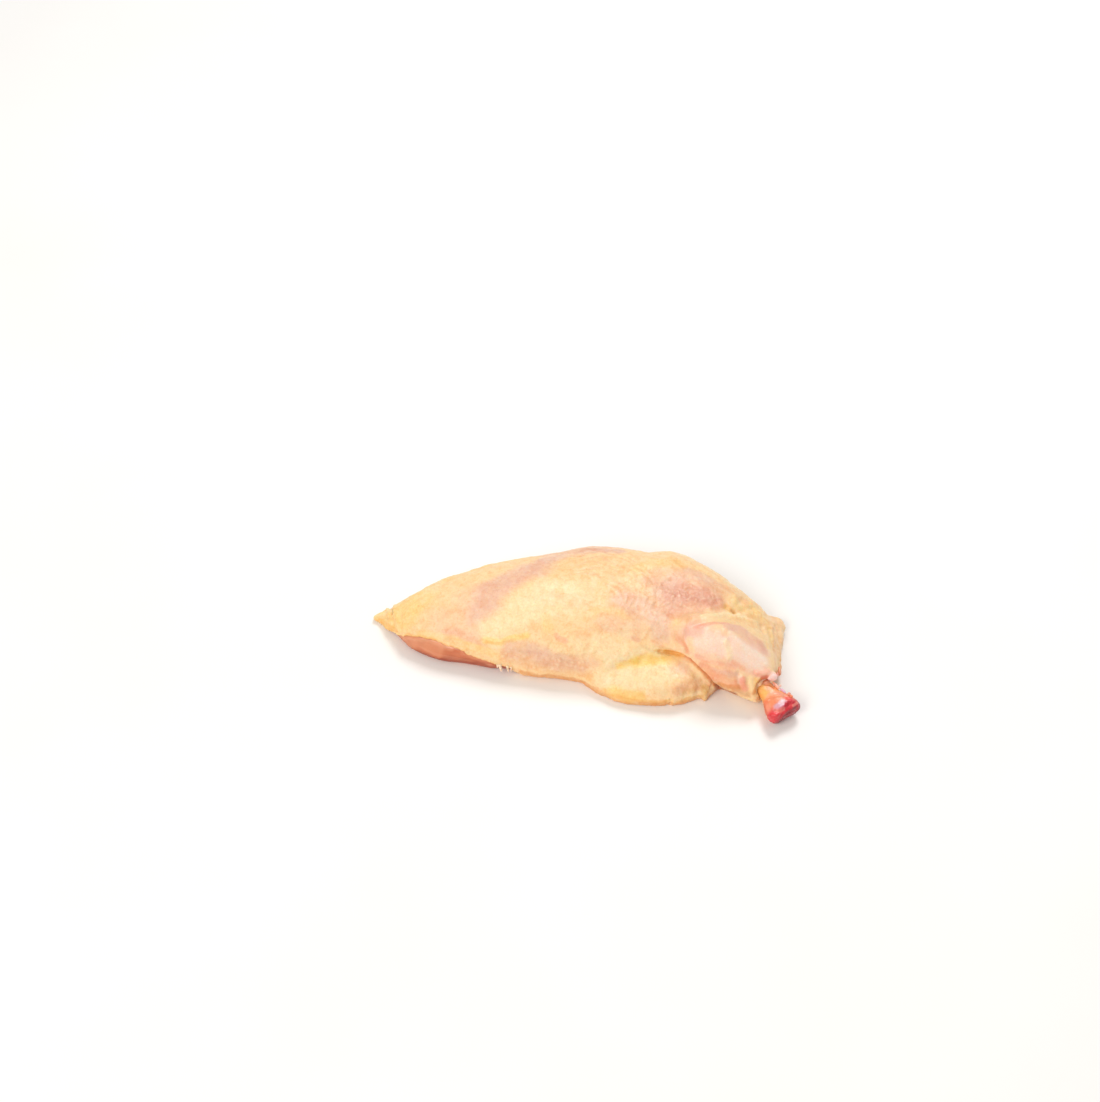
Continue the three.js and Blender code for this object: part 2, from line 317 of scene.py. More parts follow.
def sums(tree, first, second, way="ADD"):
    return wire(tree, "Math", {0: first, 1: second}, operation=way).outputs[0]


def dent(tree, shader, height, depth, strength=1.0, below=None):
    """Adds a bump of the given depth in millimetres under the shader."""
    inputs = {"Height": height, "Distance": depth * MM, "Strength": strength}
    if below is not None:
        inputs["Normal"] = below
    normal = wire(tree, "Bump", inputs).outputs["Normal"]
    tree.links.new(normal, shader.inputs["Normal"])
    return normal


def moist(shader, share, spread, depth, coat=0.0, blur=0.0):
    """Light scattered under the surface, to a depth in millimetres, below a thin wet coat."""
    values = {
        "Subsurface Weight": share, "Subsurface Radius": spread, "Subsurface Scale": depth * MM,
        "Coat Weight": coat, "Coat Roughness": blur}
    for name, value in values.items():
        shader.inputs[name].default_value = value


def raw_flesh():
    material, tree, shader, place = shader_of("raw breast meat")
    strands = grain(tree, place, 260, 4, (0.12, 1, 1), 0.6)
    cloudy = grain(tree, place, 70, 3)
    colour = attribute(tree, "tone", "Color")
    clouded = between(tree, cloudy, 0.35, 0.68, 0, 0.8)
    colour = blend(tree, clouded, colour, paint(232, 214, 208), "MULTIPLY")
    colour = blend(tree, between(tree, strands, 0.54, 0.72, 0, 0.35), colour, paint(*MEAT_FILM))
    tree.links.new(colour, shader.inputs["Base Color"])
    fine = grain(tree, place, 900, 3, (0.15, 1, 1))
    normal = dent(tree, shader, strands, 0.4, 0.5)
    dent(tree, shader, fine, 0.12, 0.5, normal)
    wetness = between(tree, grain(tree, place, 180, 3), 0.35, 0.7, 0.3, 0.5)
    tree.links.new(wetness, shader.inputs["Roughness"])
    moist(shader, 0.3, (1, 0.35, 0.25), 2.0, 0.2, 0.2)
    return material


meat = fine_copy("breast", "breast_meat", MEAT_GRAIN, MEAT_FROM, MEAT_TO)
soften(meat, 4)
reshape(meat, footed(surface(meat)[0]))
points, normals = surface(meat)
covered = ease(-0.5, 1.3, skin_cover(points, normals))
bare = 1 - covered
bundles = sum(
    high * lumps(points, (long, fine, fine), long) + high / 2 * np.abs(lumps(points, (long, 2 * fine, 4)))
    for long, fine, high in FIBRES)
inwards = MEAT_COVERED * covered + MEAT_BARE * bare - bundles * bare
reshape(meat, points - normals * inwards[:, None])
record(meat, "tone", painted(points, normals, MEAT_ROSE, MEAT_TONES))
meat.data.materials.append(raw_flesh())
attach(meat, "root")
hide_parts("breast")


# The skin: one loose wet sheet with its fat, drawn over the fillet, the lobe in front and
# the drumette. It is pale where fat lies thick under it and mauve where flesh shows
# through, gathered into creases at the wing's joint and pimpled where feathers grew.
SKIN_GRAIN = 1.0
SKIN_THICK = 1.5
# How far the skin's cut edge turns in below the meat, and how far its lip stands out.
EDGE_IN = 0.9
LIP_OUT = 0.4
CREAM = (251, 214, 162)
BUTTER = (253, 229, 183)
GOLD = (252, 214, 142)
CORN = (254, 212, 112)
AMBER = (240, 182, 98)
OCHRE = (232, 168, 70)
OLIVE = (222, 176, 98)
TAN = (234, 178, 132)
PEACH = (250, 207, 168)
PALE = (252, 220, 200)
PINK = (248, 198, 172)
MAUVE = (235, 195, 172)
ROSE = (216, 152, 126)
HEATHER = (236, 185, 164)
DUSK = (226, 166, 134)
BLUSH = (242, 160, 134)
SALMON = (240, 164, 126)
SHADED_UMBER = (205, 146, 98)
# A russet for painted shade at the foot, under the drumette and in the cuff's crease.
RUSSET_SHADE = (226, 150, 86)
CREASE_SHADE = (204, 118, 62)
FROST_AND_HIGHLIGHT = (254, 234, 216)
SHADED_MEAT = (150, 66, 42)
WHEAT = (246, 206, 150)
EMBER = (206, 86, 54)
GRISTLE = (253, 212, 204)
# Strokes of colour over the skin: tone, width, strength and the points they run through.
SKIN_TONES = (
    # the tail
    (GOLD, 10, 0.9, ((-104, -31, 3), (-92, -33, 11), (-86, -24, 16))),
    (BUTTER, 2.6, 0.9, ((-105, -29.3, 3.6), (-102.8, -28.2, 4.9), (-100.6, -27.2, 6.4))),
    (AMBER, 2.2, 0.8, ((-104.9, -31.4, 2.1), (-100.4, -33.7, 3), (-92.9, -38.5, 5.5))),
    (BUTTER, 4, 0.5, ((-83, -23.3, 17.5), (-78.6, -11.3, 17.3))),
    # the left half, with the mauve band over its crown
    (PEACH, 11, 0.9, ((-66, -38, 18), (-56, -35, 21), (-59, -24, 23))),
    (ROSE, 3.5, 0.35, ((-64.8, -41.1, 15.9), (-53.8, -40.5, 16.6), (-46.2, -40.5, 16.9))),
    (GOLD, 4, 0.55, ((-83.5, -12.5, 14.9), (-74.3, -5.5, 17), (-61.1, 4, 18.6))),
    (MAUVE, 8.5, 0.95, ((-50, -29, 23), (-51, -17, 25), (-43, -6, 27), (-30, 8, 27))),
    (DUSK, 5.5, 0.35, ((-47, -14, 26), (-39, -5, 27), (-30, 6, 27))),
    (DUSK, 4, 0.3, ((-51.9, -23.5, 24.5), (-52.5, -13.3, 25.3))),
    (MAUVE, 4.5, 1.0, ((-31.1, 11.7, 25.1), (-18.1, 20.4, 25.3), (-6.8, 26.5, 25.1), (2.2, 27.5, 25.7))),
    (DUSK, 2.5, 0.6, ((-18.6, 22.4, 24.3), (-6.9, 27.1, 24.8))),
    # the thick pad of fat and the crown behind it
    (BUTTER, 9, 1.0, ((-43, -36, 21), (-35, -26, 26), (-24, -14, 29), (-13, -5, 30))),
    (BUTTER, 8, 0.8, ((-20, -23, 27), (-10, -15, 29), (-3, -4, 30))),
    (BUTTER, 4, 0.5, ((-19.6, -1.8, 29.3), (-11.1, 4.3, 30))),
    (CORN, 2.0, 0.6, ((-45.7, -40.5, 17), (-38.6, -40.3, 17.4), (-32.2, -38.2, 19.3), (-27, -35.4, 21.2))),
    (AMBER, 0.8, 0.4, ((-45.5, -41, 16.5), (-38.5, -40.7, 17), (-33, -38.9, 18.7))),
    (GOLD, 3, 0.5, ((-19.7, -26.1, 25.9), (-16.8, -30.7, 23.8))),
    (GOLD, 3.5, 0.5, ((3, -17.6, 28.4), (9.5, -15.7, 28.5), (13.8, -13.2, 28.7))),
    (TAN, 3.5, 0.3, ((2.5, -23.1, 26.9), (8.2, -25.4, 25.4))),
    (MAUVE, 5, 0.5, ((8, -21, 27), (16, -21, 26), (24, -21, 24))),
    (BLUSH, 1.0, 0.25, ((21.8, -23.9, 23.1), (25.9, -24.1, 21.8))),
    (DUSK, 5.5, 0.4, ((12, -2, 30), (20, -3, 30), (28, -3, 29))),
    (TAN, 3, 0.4, ((7.1, -18.1, 28.1), (12, -17.6, 27.7))),
    (TAN, 6, 0.25, ((-20, -16, 28), (-12, -16, 29), (-4, -12, 29))),
    (BUTTER, 6, 0.6, ((2, -34, 20), (11, -31, 21), (20, -26, 22))),
    (WHEAT, 8, 0.75, ((-23, 4, 29), (-9, 3, 30), (4, -3, 30))),
    (WHEAT, 7, 0.7, ((-16, 11, 28), (-2, 14, 29), (12, 11, 30))),
    (GOLD, 5, 0.6, ((17, 14, 30), (23, 22, 29), (31, 28, 27))),
    (WHEAT, 6, 0.6, ((19, 5, 30), (26, 16, 29), (39, 28, 26))),
    (AMBER, 2.2, 0.5, ((31.9, 27.5, 26.8), (36.6, 25.1, 26.9))),
    (PEACH, 3.5, 0.6, ((21.1, 7, 30), (29.5, 12.2, 28.7))),
    (BLUSH, 1.5, 0.4, ((-12.8, -32.4, 22.6), (-11.5, -33.4, 21.9), (-7.9, -33.8, 21.4))),
    (TAN, 2.6, 0.35, ((-2.6, -29.8, 23.8), (1.8, -27.5, 25))),
    # the mauve shoulder before the wing
    (MAUVE, 7.5, 0.8, ((16, -9, 29), (24, -9, 29), (30, -10, 28), (35, -15, 25))),
    (PALE, 2.2, 0.45, ((9.4, -8.1, 29.8), (11.6, -6.9, 29.9))),
    (MAUVE, 8, 0.9, ((31, 5, 28), (38, 2, 28))),
    (DUSK, 6, 0.45, ((25, 7, 29), (31, 5, 28), (39, -1, 28))),
    (DUSK, 5, 0.5, ((25, 15, 29), (32, 17, 28), (40, 22, 27), (49, 21, 26))),
    (ROSE, 9, 0.9, ((38, 9, 28), (46, 8, 27), (53, 9, 27))),
    (ROSE, 4.5, 0.5, ((44.6, 4, 27.4), (51.3, 5.5, 26.6))),
    (DUSK, 4.5, 0.8, ((36.4, -7.7, 27.2), (42.5, -3.9, 27.1), (49.5, 0.3, 26.4))),
    (TAN, 2.2, 0.6, ((38.7, -8.6, 26.6), (45, -6.3, 27.7))),
    (PALE, 2.6, 0.45, ((22.8, -7.5, 29.1), (25.9, -11.6, 27.9))),
    (PALE, 4, 0.4, ((24.4, -15.2, 26.9), (34.7, -12.6, 26))),
    (DUSK, 2.6, 0.35, ((14.8, -9.5, 29.4), (19.6, -12.5, 28.4), (24.6, -16.1, 26.6))),
    (MAUVE, 4.5, 0.7, ((33.2, 13.7, 28.2), (40.6, 21.1, 27.2), (47.6, 21.6, 26), (55.1, 20.5, 24.4))),
    (TAN, 3.5, 0.6, ((55.2, 15.1, 25.6), (59.7, 17.9, 23.4))),
    (DUSK, 1.8, 0.35, ((23.7, -23.6, 22.8), (26.3, -23.9, 21.7))),
    (TAN, 1.4, 0.4, ((33.3, -21.8, 21), (37.2, -21.4, 19.6))),
    (PALE, 2.5, 0.35, ((31.3, -12.8, 26.6), (37.5, -11.7, 25.9))),
    # the low flank
    (GOLD, 2.6, 0.7, ((-78.9, -42.1, 12.4), (-63.2, -43, 14), (-47.8, -43.4, 13), (-39, -44.2, 11.5))),
    (DUSK, 4.5, 0.3, ((-34.7, -43.3, 12.8), (-24.9, -42.4, 12.7), (-15.1, -41.3, 12.6))),
    (DUSK, 3.5, 0.4, ((-28, -42, 14.3), (-15.9, -40.5, 14.4), (-2.8, -38.9, 14))),
    (MAUVE, 4.5, 0.6, ((-18.2, -41.1, 13.6), (-5.5, -39.9, 12.7), (6.8, -37.5, 12.7))),
    (DUSK, 2.6, 0.4, ((-14, -41.6, 11.8), (-3.5, -39.9, 11.2), (3.1, -38.5, 11.8))),
    (TAN, 2.6, 0.45, ((-27.5, -43.9, 9.9), (-17.7, -42.8, 9.7), (-9.9, -41.9, 9.1))),
    (TAN, 2.2, 0.4, ((-8, -41.5, 9.2), (-0.3, -40.2, 8.1), (7.7, -40.3, 8.7))),
    (PALE, 1.2, 0.5, ((-11.8, -42.2, 9.4), (-9.4, -41.8, 9.1))),
    (PALE, 1.0, 0.4, ((-31.7, -43.3, 12.3), (-29.7, -43.2, 12.1))),
    (MAUVE, 3.6, 0.7, ((-34.3, -41.4, 16), (-25.7, -39.8, 17), (-16.9, -39, 16.8))),
    (DUSK, 2.2, 0.4, ((-35.8, -43, 13.5), (-31.9, -42.7, 13.7))),
    # painted shade along the foot of the flank
    (RUSSET_SHADE, 2.0, 0.7, ((-26.1, -45, 4.1), (-17.3, -43.9, 4), (-5, -41.1, 2.3), (7.5, -42.6, 2.3),
        (15.3, -45.5, 2.2))),
    (AMBER, 3.0, 0.35, ((6.8, -40.6, 8), (13.5, -39.8, 10.1), (17.9, -37.8, 11.5))),
    # the lobe in front and its furrow
    (BUTTER, 8, 0.9, ((15, -42, 9), (21, -38, 12), (30, -37, 13), (41, -35, 14))),
    (BUTTER, 4.5, 1.0, ((13.5, -33.3, 16.9), (24.2, -28.5, 18), (35.5, -25.6, 15.6))),
    (CORN, 3.6, 0.8, ((27, -31, 14.3), (32.4, -28.9, 14.6), (37.9, -26.9, 14.6), (44.2, -24.5, 14.4))),
    (CORN, 3.5, 0.6, ((19, -45.1, 6.8), (25.3, -46.3, 5.8), (33, -45.4, 6.8))),
    # painted shade along the foot of the lobe, in this stroke and the next
    (AMBER, 2.4, 0.7, ((15.2, -45.3, 4.3), (20.6, -46.6, 3.1), (28.5, -46.8, 3), (38, -44.9, 3),
        (46.3, -42.5, 3.1))),
    (RUSSET_SHADE, 1.5, 0.6, ((33.4, -46.1, 2.5), (38.9, -44.5, 2.2), (46.3, -42.5, 2.7), (51.7, -40.3, 2.4),
        (57.6, -36.1, 2.2))),
    (TAN, 3.5, 0.6, ((50.9, -38.9, 10.6), (55, -35.6, 11.2), (59.2, -32.3, 10.4), (63.5, -29.7, 10.3))),
    (PALE, 3.5, 0.4, ((45.7, -30.7, 14.3), (50.8, -31.3, 13.8))),
    (DUSK, 3.5, 0.3, ((49.1, -39.5, 10.7), (53.6, -37.7, 10.2))),
    (OLIVE, 1.8, 0.6, ((61.6, -31.6, 8.9), (62.7, -33.3, 5.9))),
    (OLIVE, 1.8, 0.4, ((53.9, -38.7, 8.5), (56.2, -36.4, 9.6))),
    # painted shade along the foot of the lobe's end
    (AMBER, 1.6, 0.5, ((50, -41.5, 3.6), (55.9, -37.8, 4.3), (62.1, -34.1, 3))),
    (CREAM, 1.0, 0.7, ((38.1, -20.9, 19.7), (42.1, -20.7, 18.6), (46.9, -22, 18.3), (51.8, -24.2, 18.4))),
    (AMBER, 0.9, 0.5, ((34.5, -24, 18), (38.7, -22.8, 17.1))),
    (OCHRE, 1.1, 0.9, ((39.2, -22.6, 17), (43.5, -21.8, 16.3), (48.1, -22.8, 16.9))),
    # painted shade in the crease where the drumette lies over the lobe
    (CREASE_SHADE, 0.8, 0.85, ((48.7, -23.2, 17), (52, -24.6, 17), (56, -26.7, 16.3), (60, -28.6, 14.4),
        (63.9, -29.8, 11.6), (67.6, -26.1, 3.9))),
    (CORN, 1.8, 0.6, ((19.6, -34.9, 13), (22.7, -33.5, 13.5), (26.1, -31.4, 14.2))),
    # the drumette
    (PINK, 11, 0.9, ((52, -20, 27), (65, -20, 27), (79, -18, 22))),
    (PALE, 7.5, 0.85, ((54, -21, 27), (63, -21, 27), (75, -18, 24), (83, -16, 19))),
    (CREAM, 2.0, 0.6, ((43.9, -20.3, 19.9), (48.9, -22.6, 20), (52.3, -24.3, 19.1))),
    (SALMON, 1.5, 0.7, ((44.3, -18.8, 23.4), (46.8, -20.7, 22.8), (49.9, -22.9, 21))),
    (TAN, 2.2, 0.4, ((42, -17.3, 23.3), (45.4, -19.3, 23.7))),
    (TAN, 2.6, 0.6, ((44.7, -9.4, 28.3), (50.5, -9.4, 30.2))),
    (BUTTER, 2.0, 0.8, ((53.4, -6.5, 29.4), (58.7, -0.4, 25.7), (63.9, 4, 22.7), (71.2, 8.3, 18.9))),
    (HEATHER, 4.0, 0.9, ((48.5, -16.9, 28.5), (53.7, -14.6, 30))),
    (BLUSH, 1.4, 0.6, ((51.8, -14.5, 30), (55.5, -11.6, 30.2), (61.1, -7.7, 28.9), (65.5, -4.7, 26.7))),
    (HEATHER, 4.2, 0.9, ((66, -7.1, 27.3), (72.6, -4.7, 23.9), (78.1, -6.2, 21.5), (84.9, -8.7, 17.7))),
    (ROSE, 2.0, 0.2, ((80, -5.1, 20.1), (83.6, -7.7, 18.3))),
    (CREAM, 1.8, 0.6, ((50.1, -20, 26.6), (52, -23.1, 22.7))),
    (FROST_AND_HIGHLIGHT, 2.2, 0.45, ((57.2, -14.8, 29.8), (59.3, -21.1, 27.3))),
    (FROST_AND_HIGHLIGHT, 1.6, 0.35, ((62.5, -13.8, 29), (63.8, -17.2, 28.1))),
    (BUTTER, 2.0, 0.55, ((67.9, -17.4, 26.8), (70.4, -23.3, 23.9))),
    # a painted highlight along the drumette's ridge, and a broader one below it
    (FROST_AND_HIGHLIGHT, 2.2, 0.6, ((68.5, -11.4, 26.9), (75.2, -14.2, 23.8), (82.1, -14.9, 19.9), (86.9, -15.5, 17.1))),
    (FROST_AND_HIGHLIGHT, 3.0, 0.4, ((75.6, -17.9, 23.2), (83, -19.1, 19))),
    (BLUSH, 1.4, 0.4, ((55.2, -25, 21.5), (63, -27, 21.9), (73.7, -26.2, 20.9))),
    (BLUSH, 1.3, 0.35, ((58.3, -27, 18.9), (65.5, -28.7, 19.5), (72.3, -28.2, 19.7))),
    (HEATHER, 1.8, 0.7, ((64.7, -29, 18.5), (69.8, -29.6, 18.3), (74.5, -28.8, 18.3))),
    (SALMON, 3.4, 0.9, ((59.6, -27.7, 17.9), (66.2, -30.1, 15.4), (73.4, -31.2, 14), (78, -30.5, 14.8))),
    # painted shade on the drumette's lower side
    (RUSSET_SHADE, 1.5, 0.5, ((66.4, -29.5, 10), (72.6, -31.4, 11.7), (79.2, -31.1, 13.6))),
    (SALMON, 1.2, 0.4, ((72.7, -24.5, 22.3), (78.4, -24.9, 19.6))),
    (PALE, 1.3, 0.7, ((77.2, -28.6, 17.5), (78, -30.3, 15.2))),
    (BLUSH, 1.9, 0.8, ((79.3, -29, 16.4), (80.1, -30, 14.9), (81.2, -30.9, 13.3))),
    (AMBER, 2.0, 0.5, ((84.6, -27.2, 15.4), (85.1, -29.7, 13.3), (85.9, -31.5, 11.1))),
    (CREAM, 1.8, 0.9, ((82.3, -27.4, 16.3), (83.7, -30.9, 12.6), (85, -32.2, 8.7))),
    (EMBER, 1.4, 0.9, ((87.7, -24.4, 15.1), (89.6, -22.9, 14.5))),
    # painted shade in the crease round the root of the bone
    (RUSSET_SHADE, 1.0, 0.8, ((87.2, -25.4, 15), (86.3, -27.7, 14), (85.7, -30.2, 12.6), (85.3, -31.2, 11.7))),
    (BLUSH, 2.2, 0.7, ((84.6, -23.5, 17.1), (87.3, -22.1, 16.1), (88.9, -20.2, 15.6))),
    (BLUSH, 1.6, 0.4, ((93.2, -9, 3.6), (93.9, -4.9, 3))),
    # a thin flap under the drumette's end: its own olive colour darkened with painted shade
    (SHADED_UMBER, 2.4, 0.75, ((75.2, -31.7, 10.7), (79.1, -31.8, 10.7), (82.7, -32.1, 10))),
    # painted shade on the drumette's lower side
    (RUSSET_SHADE, 2.0, 0.5, ((68.5, -30.5, 11.1), (73.1, -31.5, 11.6), (77.1, -31.7, 12))),
    (CREAM, 0.9, 0.7, ((73.7, -31.4, 9.9), (79.8, -31.7, 7.8), (85.9, -32.1, 6.6), (90.3, -32, 6.6))),
    (GRISTLE, 2.6, 1.0, ((91.1, -20.8, 14.4), (93.1, -20.5, 14))),
    (GRISTLE, 1.8, 0.8, ((92.3, -19.5, 14.5), (93.7, -20.8, 12.8))),
    # the slack web and the pit above the drumette
    (PEACH, 6, 0.6, ((82, 15, 12), (86, 17, 8), (90, 10, 6), (91, 0, 6))),
    (GOLD, 5.0, 0.7, ((67, 15, 21), (73, 16, 17), (78, 16, 14))),
    (AMBER, 1.8, 0.5, ((61.2, 9, 23.7), (63.9, 8.6, 22.5), (66.6, 8.1, 21.3))),
    # painted shade in the pit
    (SHADED_UMBER, 0.9, 0.4, ((64.9, 8.6, 22.1), (66, 8.4, 21.6))),
    (TAN, 1.8, 0.45, ((87.2, 5.2, 9.1), (90, -3.6, 10), (91.6, -10.2, 12))),
    (GOLD, 2.4, 0.5, ((82, 15, 11.6), (84.9, 8.8, 10.3), (86.6, 2.3, 11.3))),
    (PALE, 1.3, 0.5, ((87.3, -6.3, 15.1), (88.1, -9, 15.4))),
    (TAN, 3.0, 0.5, ((57, 21.2, 23.5), (64, 20.1, 21), (69, 18.8, 18.9))),
    (AMBER, 1.8, 0.5, ((92.3, 2.4, 4.1), (93.4, -2.5, 3.2))),
    # dark meat in the shaded gap under the drumette: the meat's colour with painted shadow
    (SHADED_MEAT, 2.8, 0.9, ((67.2, -26.2, 2.4), (71.7, -29.8, 6.6), (74.8, -30.8, 7.3))),
)
# Strokes on the sides turned away from the camera.
FAR_TONES = (
    (GOLD, 9, 0.8, ((-95, -12, 8), (-70, 6, 15), (-45, 24, 16), (-20, 38, 14))),
    (MAUVE, 9, 0.7, ((-30, 26, 24), (-8, 38, 20), (16, 46, 16))),
    (BUTTER, 10, 0.7, ((20, 44, 16), (44, 44, 14), (66, 36, 10))),
    (PEACH, 7, 0.7, ((-60, 22, 8), (-20, 46, 6), (20, 54, 5), (60, 42, 5))),
    (AMBER, 3.5, 0.6, ((-100, -8, 0), (-60, 20, 0), (-20, 46, 0), (20, 53, 0), (60, 44, 0), (88, 26, 0))),
)
# Lines pressed into the skin, as points on it, after their width and depth.
CREASES = (
    # the furrow between the fillet and the lobe
    (1.0, -1.3, ((36.9, -23.4, 17.3), (40.6, -22.4, 16.4), (44.5, -21.8, 15.9), (48.7, -23.1, 17.1),
        (52, -24.5, 17.2))),
    (1.3, -0.45, ((29.3, -25.5, 19), (33.1, -24.6, 18.1), (36.9, -23.4, 17.3))),
    (2.0, -0.35, ((18.7, -35.4, 12.8), (21.9, -34.2, 13.2), (25.2, -31.7, 14.2), (28.7, -30, 14.5))),
    # where the drumette lies over the fillet and the lobe
    (0.8, -1.3, ((52, -24.5, 17.2), (54.8, -26, 16.6), (57.7, -27.4, 15.8), (60.5, -28.7, 14.1),
        (63.3, -29.5, 12), (65.9, -29.1, 9), (68.1, -26.2, 3.8))),
    (1.5, -0.7, ((46, -10.8, 29.2), (46, -13.9, 28.8), (45.5, -17.3, 26.6), (45.7, -19.4, 23.9),
        (48.1, -21.9, 21.2))),
    # below the thick fat pad
    (2.5, -0.12, ((-40.2, -40.1, 17.6), (-35.7, -39.9, 17.8), (-30.7, -38.3, 19.2), (-25.4, -35.6, 20.9))),
    # under the ridge that runs to the joint of the wing
    (1.1, -0.6, ((49.7, -14.2, 30), (53.1, -11.8, 30.3), (57.3, -8.5, 29.7), (62.5, -4.8, 27.6),
        (68.8, -0.7, 23.5))),
    # the pit and the folds that run out from it
    (1.3, -0.7, ((62.4, 8.2, 23.2), (64.5, 8, 22.2), (66.6, 7.8, 21.3))),
    (1.3, -0.5, ((66.6, 8.1, 21.3), (70.3, 12.6, 19.2), (73.5, 17.3, 16.7))),
    (1.2, -0.25, ((65.3, 9.3, 21.9), (67.8, 16.7, 19.9))),
    (1.2, -0.2, ((62.2, 9.1, 23.3), (58.9, 12.3, 24.7))),
    (1.3, -0.4, ((67.3, 7.2, 21), (73, 9.9, 17.9), (77.3, 11.7, 15.1))),
    # the tip of the tail, turned over
    (0.9, -1.6, ((-101.5, -22.5, 4.5), (-99.5, -26.7, 7.4), (-97.8, -29.7, 8.5))),
    (1.0, -0.6, ((-97.8, -29.7, 8.5), (-96.1, -33.3, 8.5), (-94.9, -36.3, 6.8))),
    (0.8, -0.5, ((-104.8, -29.9, 3.5), (-100.7, -30.8, 5.8), (-97.3, -32.9, 7.7))),
    (1.4, -0.25, ((-89, -38.5, 10.4), (-92.3, -34.8, 10.5), (-92.6, -30.7, 12))),
    (1.3, -0.2, ((-85, -31.3, 15.7), (-81, -37.1, 15.2))),
    # slack folds in the web
    (1.1, -0.3, ((83.9, 10.9, 10.6), (86, 4.6, 10.8), (89.3, -3.5, 11.1))),
    (1.0, -0.3, ((86.1, 13.3, 8.8), (88.5, 4.6, 7.9), (90.6, -0.5, 6.8))),
    (0.9, -0.25, ((88.3, 14.2, 7.1), (89.8, 8.5, 6.3))),
    (1.1, -0.35, ((78.5, 13.6, 14.1), (80.2, 10.8, 13.3), (82.4, 4.7, 14))),
    # in the frilled end of the lobe
    (1.5, -0.4, ((59.5, -33.3, 9.4), (59, -35.1, 7.6), (58.9, -35.7, 4.4), (58.9, -34.6, 0.2))),
    (1.8, -0.25, ((55.1, -35.9, 10.9), (54.7, -38.1, 8.8), (53.8, -39.3, 5.4))),
    (0.9, -0.9, ((47.1, -42.5, 6), (47, -41.8, 0.7))),
    (0.9, -0.5, ((64.9, -29.3, 9.7), (64.4, -30.2, 6.7))),
    # between the drawn tendons and round the root of the bone
    (0.8, -0.3, ((81.3, -28.2, 16.2), (82.3, -30.6, 13.4), (83.2, -32.1, 9.5))),
    (1.1, -1.6, ((91.2, -21.5, 10.5), (89.2, -23.8, 13.1), (87.8, -25.9, 14.3), (87, -27.7, 13.5),
        (86.7, -28.7, 11.5), (86.8, -29.7, 10.5))),
    (0.9, -0.5, ((76.1, -27.6, 18.9), (77.6, -30.6, 14.7), (78.9, -31.5, 12.5))),
    # short wrinkles above the cut edge
    (1.0, -0.35, ((-35.7, -43.5, 12.6), (-29.7, -43, 12.6), (-22.9, -42.4, 12))),
    (1.0, -0.35, ((-30.2, -41.4, 15.7), (-24.4, -40.7, 15.5), (-18.1, -39.8, 15.8))),
    (1.0, -0.35, ((-19.9, -42.3, 11.4), (-13, -41.6, 11.4), (-6.2, -40.7, 10.5))),
    (1.0, -0.3, ((-8.7, -39.5, 14.9), (-1.9, -38.7, 14.1), (4.7, -37.3, 14))),
    (0.9, -0.35, ((-65.2, -43.3, 13.7), (-57.1, -43, 13.8), (-48.9, -43.3, 13.2))),
    (0.9, -0.3, ((-14.1, -31.4, 23.3), (-11.6, -33, 22.2), (-8, -33.4, 21.7))),
    (1.2, -0.35, ((-4.5, -26.6, 25.5), (1.7, -27.1, 25.2), (7.7, -27.3, 24.4))),
)
